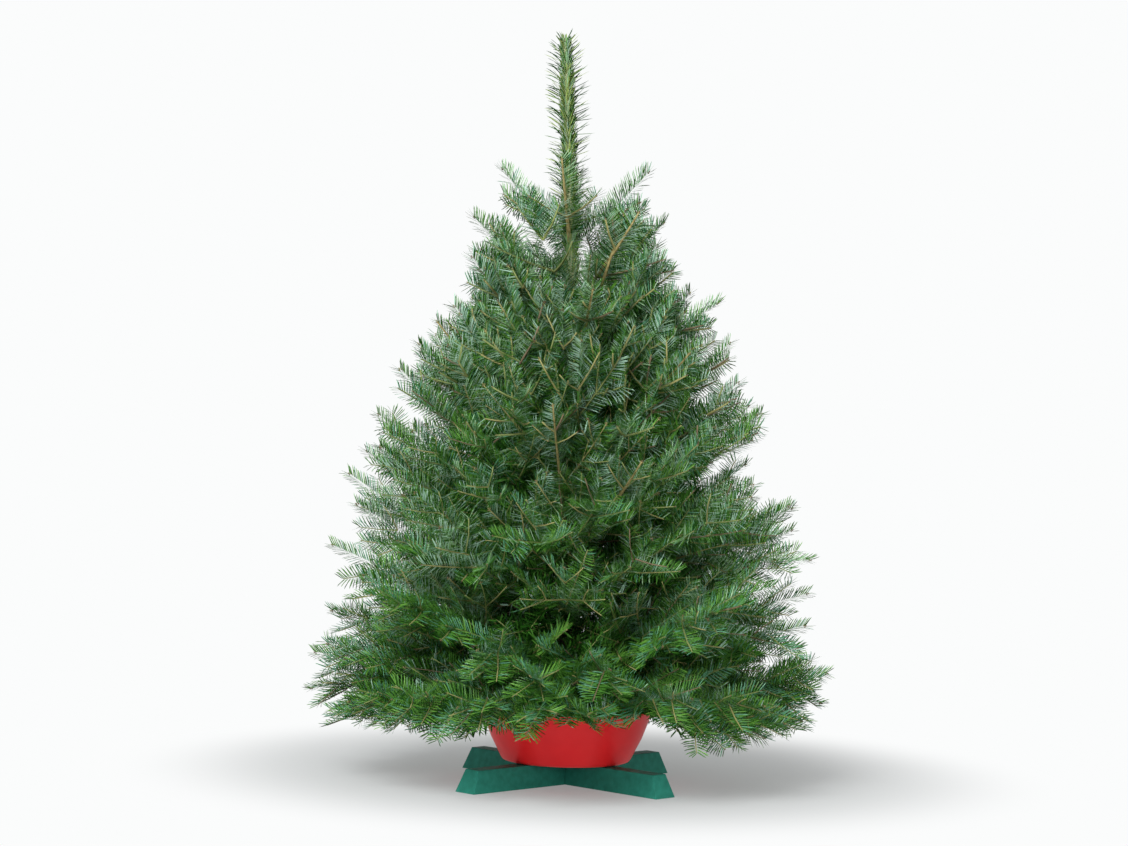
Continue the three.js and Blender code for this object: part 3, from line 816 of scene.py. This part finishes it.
for shoot in middle["sides"]:
    middle["fine"] += finer_shoots(shoot, shares=(0.4,), length_share=0.7, shortest=20)
groups["middle"] = [middle]

twig_finishes = [
    new_finish("twig_tan", "8d8a54", 0.7)[0],
    new_finish("twig_brown", "706048", 0.8)[0],
    new_finish("twig_olive", "788349", 0.7)[0],
]
TAN_BROWN_OLIVE_SHARES = (0.45, 0.12, 0.43)


def joined_mesh(name, points, faces, finish_of_face, finishes, smooth):
    """One mesh out of the arrays of many small things. Points are in mm."""
    mesh = bpy.data.meshes.new(name)
    mesh.vertices.add(len(points))
    mesh.vertices.foreach_set("co", (points * MM).astype(np.float32).ravel())
    mesh.loops.add(faces.size)
    mesh.loops.foreach_set("vertex_index", faces.astype(np.int32).ravel())
    mesh.polygons.add(len(faces))
    sides = faces.shape[1]
    mesh.polygons.foreach_set("loop_start", np.arange(0, faces.size, sides, dtype=np.int32))
    mesh.polygons.foreach_set("material_index", finish_of_face.astype(np.int32))
    mesh.polygons.foreach_set("use_smooth", np.full(len(faces), smooth))
    mesh.update(calc_edges=True)
    return new_object(name, mesh, finishes)


def twig_points(shoot, root_radius, tip_radius):
    """The rings of a tapering twig, a little knotted, from its root to its tip."""
    rings = max(FEWEST_TWIG_RINGS, round(shoot.length / TWIG_RING))
    share = np.linspace(0, 1, rings)
    tangent = shoot.heading(share)
    across = np.cross(tangent, shoot.above)
    across /= np.linalg.norm(across, axis=1, keepdims=True)
    above = np.cross(across, tangent)
    radius = np.linspace(root_radius, tip_radius, rings) * rng.uniform(*TWIG_KNOTS, rings)
    angle = np.arange(TWIG_SIDES) * math.tau / TWIG_SIDES
    around = (
        across[:, None] * np.cos(angle)[None, :, None]
        + above[:, None] * np.sin(angle)[None, :, None]
    )
    rings_at = shoot.at(share)[:, None] + around * radius[:, None, None]
    return rings_at.reshape(-1, 3), rings


def twig_faces(rings, first):
    """Quads between the rings of a twig, each cut into two."""
    i = np.arange(TWIG_SIDES)
    j = (i + 1) % TWIG_SIDES
    strips = []
    for ring in range(rings - 1):
        low, high = first + ring * TWIG_SIDES, first + (ring + 1) * TWIG_SIDES
        strips += [
            np.stack([low + i, high + i, high + j], axis=1),
            np.stack([low + i, high + j, low + j], axis=1),
        ]
    end = first + (rings - 1) * TWIG_SIDES
    cap = np.array([[end, end + k + 1, end + k] for k in range(1, TWIG_SIDES - 1)])
    return np.concatenate([*strips, cap])


def foliage_nodes(name):
    """The solids that a group's twigs and needles stand for."""
    count = len(groups[name]) if name.startswith("whorl") else 0
    return [f"foliage_{name[-1]}_{i + 1}" for i in range(count)]


for name, group in groups.items():
    points, faces, finish_of_face, count = [], [], [], 0
    for bough in group:
        for kind, root in TWIG_ROOT.items():
            for shoot in bough[kind]:
                stout = STOUT if shoot.root[2] > STOUT_FROM else 1
                rings_at, rings = twig_points(shoot, root * stout, TWIG_TIP * stout)
                strip = twig_faces(rings, count)
                points.append(rings_at)
                faces.append(strip)
                finish = rng.choice(len(twig_finishes), p=TAN_BROWN_OLIVE_SHARES)
                finish_of_face.append(np.full(len(strip), finish))
                count += len(rings_at)
    twigs = joined_mesh(
        f"twigs_{name}",
        np.concatenate(points),
        np.concatenate(faces),
        np.concatenate(finish_of_face),
        twig_finishes,
        smooth=True,
    )
    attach(twigs, "root")
    if foliage_nodes(name):
        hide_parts(*foliage_nodes(name))


# Needles
# Flat blunt needles, 10 to 20 mm long and up to 28 mm on the leader, of a waxy green, some with a
# silvery underside. They lean forwards in two ranks on each side of a shoot, or all round the
# leader. Each is a slim closed shape of four faces that is wide near both ends.
NEEDLES_A_PIECE, FEWEST_NEEDLES = 45000, 4
NEEDLE_DEPTH, LENGTHS_VARY, PLACES_VARY = 0.4, (0.9, 1.06), 0.3
SHORT_AT_ROOT, LENGTHENING, TIP_FROM, SHORTER_AT_TIP = 0.66, 3, 0.6, 0.3
FACES_TIP, FACES_UP, FACES_ANYWHERE = 0.45, 0.9, 0.1
# The second value is painted shade: the lower rank of a spray draws that many more times from the
# deep green.
SILVERY_SHARES, PAINTED_SHADE_IN_LOWER_RANK = (0.06, 0.12, 0.4), 12
NEEDLE_ALONG = np.array([0, 0.2, 0.8, 1])
NEEDLE_ACROSS = np.array([0, 0.77, -0.77, 0])
NEEDLE_UP = np.array([0, 0.5, 0.5, 0])
NEEDLE_FACES = np.array([(0, 1, 2), (1, 3, 2), (0, 3, 1), (0, 2, 3)])
TOP_FACES = 2


def needle_finish(name, colour, shine=0.3):
    finish, shader = new_finish(name, colour, roughness=0.38)
    shader.inputs["Specular IOR Level"].default_value = shine
    return finish


DEEP, GREEN, FRESH, BLUE, PALE, YOUNG, SILVER = range(7)
needle_finishes = [
    needle_finish("needle_deep", "1a420e", 0.12),
    needle_finish("needle_green", "3f7125"),
    needle_finish("needle_fresh", "5c8f35"),
    needle_finish("needle_blue", "518968"),
    needle_finish("needle_light", "8aae84"),
    needle_finish("needle_young", "93a65c"),
    needle_finish("needle_silver", "9fc2ac"),
]


def unit(vectors):
    return vectors / np.linalg.norm(vectors, axis=-1, keepdims=True)


def needles_on(shoot, a_mm, length, width, ranks, lean, palette, bare=0.0, stray=2.2):
    """Needles all along a shoot.

    ranks are the angles of its upper and lower rank from its top, with how far they stray, and
    lean the angle between needle and shoot at its middle and at its tip, with how far they
    stray from that. The lower rank lies in the shade, and that shade is painted: its needles
    draw more often from a deeper green. Some needles show a silvery underside. The first share
    of the shoot is bare.
    """
    count = max(FEWEST_NEEDLES, int(shoot.length * (1 - bare) * a_mm))
    place = np.arange(count)
    jittered = place + 0.5 + rng.uniform(-PLACES_VARY, PLACES_VARY, count)
    share = bare + (1 - bare) * jittered / count
    tangent = shoot.heading(share)
    across = unit(np.cross(tangent, shoot.above))
    above = np.cross(across, tangent)
    hand = np.where(place % 2, 1.0, -1.0)
    upper = place // 2 % 2 == 0
    angle = np.radians(np.where(upper, ranks[0], ranks[1]) + rng.normal(0, ranks[2], count)) * hand
    radial = above * np.cos(angle)[:, None] + across * np.sin(angle)[:, None]
    near_tip = np.clip((share - TIP_FROM) / (1 - TIP_FROM), 0, 1) ** 1.5
    off_axis = np.radians(mix(lean[0], lean[1], near_tip) + rng.normal(0, stray, count))
    out = tangent * np.cos(off_axis)[:, None] + radial * np.sin(off_axis)[:, None]
    faces_tip = tangent * np.sin(off_axis)[:, None] - radial * np.cos(off_axis)[:, None]
    anywhere = rng.normal(0, FACES_ANYWHERE, (count, 3))
    normal = unit(faces_tip * FACES_TIP + above * FACES_UP + anywhere)
    normal = unit(normal - out * np.sum(normal * out, axis=1, keepdims=True))
    grown = np.minimum(1, SHORT_AT_ROOT + LENGTHENING * share) * (1 - SHORTER_AT_TIP * near_tip**2)
    # Painted shade: a spray's lower rank draws from the deep green more often than its upper rank.
    painted_shade_greens = [*palette, *[DEEP] * PAINTED_SHADE_IN_LOWER_RANK]
    top = np.where(upper, rng.choice(palette, count), rng.choice(painted_shade_greens, count))
    silvery = rng.uniform(0, 1, count) < rng.choice(SILVERY_SHARES)
    return {
        "root": shoot.at(share),
        "out": out,
        "normal": normal,
        "size": length * grown * rng.uniform(*LENGTHS_VARY, count),
        "width": np.full(count, width),
        "top": top,
        "under": np.where(silvery, SILVER, top),
    }


def needle_piece(name, sprays, replaced):
    """Joins sprays of needles into one piece that stands for some of the solids."""
    all_of = {key: np.concatenate([s[key] for s in sprays]) for key in sprays[0]}
    root, out, normal, size, width, top, under = all_of.values()
    along = out[:, None] * (size[:, None] * NEEDLE_ALONG)[:, :, None]
    wide = np.cross(normal, out)[:, None] * (width[:, None] / 2 * NEEDLE_ACROSS)[:, :, None]
    deep = normal[:, None] * (NEEDLE_UP * NEEDLE_DEPTH)[None, :, None]
    points = root[:, None] + along + wide + deep
    faces = NEEDLE_FACES[None] + len(NEEDLE_ALONG) * np.arange(len(root))[:, None, None]
    finish = np.where(
        np.arange(len(NEEDLE_FACES))[None] < TOP_FACES, top[:, None], under[:, None]
    )
    piece = joined_mesh(
        name,
        points.reshape(-1, 3),
        faces.reshape(-1, 3),
        finish.ravel(),
        needle_finishes,
        smooth=False,
    )
    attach(piece, "root")
    if replaced:
        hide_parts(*replaced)


# The inner sprays take mostly the deep green: partly the darker green of older needles, partly
# painted shade for the dark middle of the crown.
INNER_GREENS_AND_SHADE = [DEEP, GREEN, DEEP, GREEN]
# Painted light: the upper crown takes more of the pale and fresh greens, for the stronger light that
# falls on it from above.
HIGH_GREENS_PAINTED_LIGHT = [GREEN, FRESH, GREEN, BLUE, PALE, PALE]
MIDDLE_GREENS = [GREEN, BLUE, GREEN, FRESH, PALE, GREEN]
LOW_GREENS = [GREEN, FRESH, GREEN, BLUE]
HIGH_FROM, MIDDLE_FROM, INNER_SHARE = 430, 200, 0.62


def outwardness(shoot):
    """How far out the tip of a shoot is, as a share of the crown's radius at its height."""
    x, y, z = shoot.at(1.0)
    return math.hypot(x, y) / at_height(CROWN, z)


def palette_of(shoot):
    """A spray is mostly of one green, with some needles of the others of its part of the crown."""
    z = shoot.at(1.0)[2]
    # Painted light: the greens grow paler towards the top of the crown.
    greens = HIGH_GREENS_PAINTED_LIGHT if z > HIGH_FROM else MIDDLE_GREENS if z > MIDDLE_FROM else LOW_GREENS
    # Partly painted shade: sprays deep inside the crown take the deeper greens.
    if outwardness(shoot) < INNER_SHARE:
        greens = INNER_GREENS_AND_SHADE
    main = rng.choice(greens)
    return [main, main, main, *greens]


BRUSHY_FROM = 360
LENGTHS = {"sides": 16, "fine": 15.5, "stem": 18}
HIGH_LENGTHS = {"sides": 18, "fine": 15.5, "stem": 20}
SPRAY = {"a_mm": 1.55, "width": 1.6, "ranks": (60, 88, 5), "lean": (68, 38)}
FINE_SPRAY = {"a_mm": 1.4, "width": 1.65, "ranks": (60, 88, 5), "lean": (68, 38)}
HIGH_SPRAY = {"a_mm": 1.8, "width": 1.8, "ranks": (48, 86, 9), "lean": (68, 40)}
INNER_SPRAY = {"a_mm": 0.62, "width": 3.3, "ranks": (50, 95, 14), "lean": (66, 36)}
for number, (name, group) in enumerate(groups.items()):
    sprays = []
    for bough in group:
        high = bough["sides"] and bough["sides"][0].root[2] > BRUSHY_FROM
        lengths = HIGH_LENGTHS if high else LENGTHS
        kinds = [("sides", bough["sides"], 0), ("fine", bough["fine"], 0)]
        if "stem" in bough:
            kinds.append(("stem", [bough["stem"]], bough["sizes"]["bare"]))
        for kind, shoots, bare in kinds:
            for shoot in shoots:
                spray = HIGH_SPRAY if high else SPRAY
                if outwardness(shoot) < INNER_SHARE and not high:
                    spray = INNER_SPRAY
                elif kind == "fine":
                    spray = FINE_SPRAY
                greens = palette_of(shoot)
                sprays.append(
                    needles_on(shoot, length=lengths[kind], palette=greens, bare=bare, **spray)
                )
    counts = np.cumsum([len(s["size"]) for s in sprays])
    pieces = math.ceil(counts[-1] / NEEDLES_A_PIECE)
    share_of = np.minimum(counts * pieces // (counts[-1] + 1), pieces - 1)
    for k in range(pieces):
        chosen = [s for s, which in zip(sprays, share_of) if which == k]
        needle_piece(
            f"needles_{name}{'abcdef'[k]}", chosen, foliage_nodes(name),
        )

# Long needles stand out from the leader on all sides. Paler ones lie closer along the stem and
# start further down.
LEADER_FROM, PRESSED_FROM, LEADER_TO = 548, 425, 738


class Leader(Shoot):
    """The trunk between two heights, as a shoot that needles can stand on."""

    def __init__(self, low, high):
        self.low, self.high, self.length = low, high, high - low
        self.above = np.array((0.0, -1.0, 0.0))

    def at(self, share):
        z = mix(self.low, self.high, share)
        return np.stack([trunk_lean(z), 0 * z, z], axis=-1)

    def heading(self, share):
        z = mix(self.low, self.high, share)
        lean = TRUNK["lean"] * TRUNK["lean_power"] * (z / TRUNK["tip"]) ** (
            TRUNK["lean_power"] - 1
        ) / TRUNK["tip"]
        return unit(np.stack([lean, 0 * z, 0 * z + 1], axis=-1))


ALL_ROUND = (45, 135, 26)
leader = needles_on(
    Leader(LEADER_FROM, LEADER_TO),
    a_mm=2.0,
    length=27,
    width=2.7,
    ranks=ALL_ROUND,
    lean=(64, 50),
    palette=[GREEN, DEEP, YOUNG, GREEN, YOUNG],
    stray=9,
)
pressed = needles_on(
    Leader(PRESSED_FROM, LEADER_TO),
    a_mm=5.0,
    length=19,
    width=2.4,
    ranks=ALL_ROUND,
    lean=(32, 29),
    palette=[PALE, PALE, YOUNG, GREEN, YOUNG],
)
for spray in (leader, pressed):
    spray["normal"] = unit(spray["normal"] + UP)
    spray["normal"] = unit(
        spray["normal"]
        - spray["out"] * np.sum(spray["normal"] * spray["out"], axis=1, keepdims=True)
    )
needle_piece("needles_leader", [leader, pressed], ["leader_foliage"])


# Buds
# A blunt resinous bud, tan or brown and a little glossy, closes each limb and each side shoot. The
# stronger ones have two smaller buds beside it, and the leader has four round its own.
BUD_SIDES, BUD_TAPER, BUD_AHEAD = 4, 0.35, 0.7
STRONG_SHOOT, QUARTER_TURN = 75, 1.57
BUD, SMALL_BUD = {"length": 1.5, "width": 0.9}, {"length": 1.2, "width": 0.8}
LEADER_BUD, ROUND_LEADER_BUD = {"length": 2.4, "width": 1.7}, {"length": 1.9, "width": 1.3}
bud_finishes = [
    new_finish("bud_brown", "6b583e", 0.45)[0],
    new_finish("bud_tan", "7f7a4a", 0.45)[0],
]
bud_ball = bmesh.new()
bmesh.ops.create_uvsphere(bud_ball, u_segments=BUD_SIDES, v_segments=2, radius=1)
bmesh.ops.triangulate(bud_ball, faces=bud_ball.faces)
BALL_POINTS = np.array([v.co[:] for v in bud_ball.verts])
BALL_FACES = np.array([[v.index for v in f.verts] for f in bud_ball.faces])
bud_ball.free()

points, faces, finish_of_face = [], [], []


def add_bud(at, along, length, width):
    along = unit(np.array(along))
    across = unit(np.cross(along, (0.3, 0.5, 0.8)))
    other = np.cross(along, across)
    taper = 1 - BUD_TAPER * BALL_POINTS[:, 2:]
    ball = (
        BALL_POINTS[:, :1] * taper * across * width
        + BALL_POINTS[:, 1:2] * taper * other * width
        + (BALL_POINTS[:, 2:] + BUD_AHEAD) * along * length
    )
    faces.append(BALL_FACES + len(BALL_POINTS) * len(points))
    points.append(at + ball)
    finish_of_face.append(np.full(len(BALL_FACES), rng.choice(len(bud_finishes))))


for bough in [bough for group in groups.values() for bough in group]:
    for shoot in [*([bough["stem"]] if "stem" in bough else []), *bough["sides"]]:
        tip, ahead = shoot.at(1.0), shoot.heading(1.0)
        add_bud(tip, ahead, **BUD)
        if shoot.length > STRONG_SHOOT:
            across = unit(np.cross(ahead, shoot.above))
            for hand in (1, -1):
                beside = tip - ahead * 1.2 + across * hand * 0.7
                add_bud(beside, ahead + across * hand, **SMALL_BUD)
leader_tip = Leader(LEADER_FROM, TRUNK["tip"]).at(1.0)
add_bud(leader_tip, (0, 0, 1), **LEADER_BUD)
for turn in range(4):
    outwards = np.array((math.cos(turn * QUARTER_TURN), math.sin(turn * QUARTER_TURN), 0))
    beside = leader_tip + outwards * 1.5 - (0, 0, 1.5)
    add_bud(beside, outwards + (0, 0, 1.0), **ROUND_LEADER_BUD)
buds = joined_mesh(
    "buds",
    np.concatenate(points),
    np.concatenate(faces),
    np.concatenate(finish_of_face),
    bud_finishes,
    smooth=True,
)
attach(buds, "root")


boxes = {"cad": cad_box, "visual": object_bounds()}
{k: [[float(c) for c in corner] for corner in b] for k, b in boxes.items()}
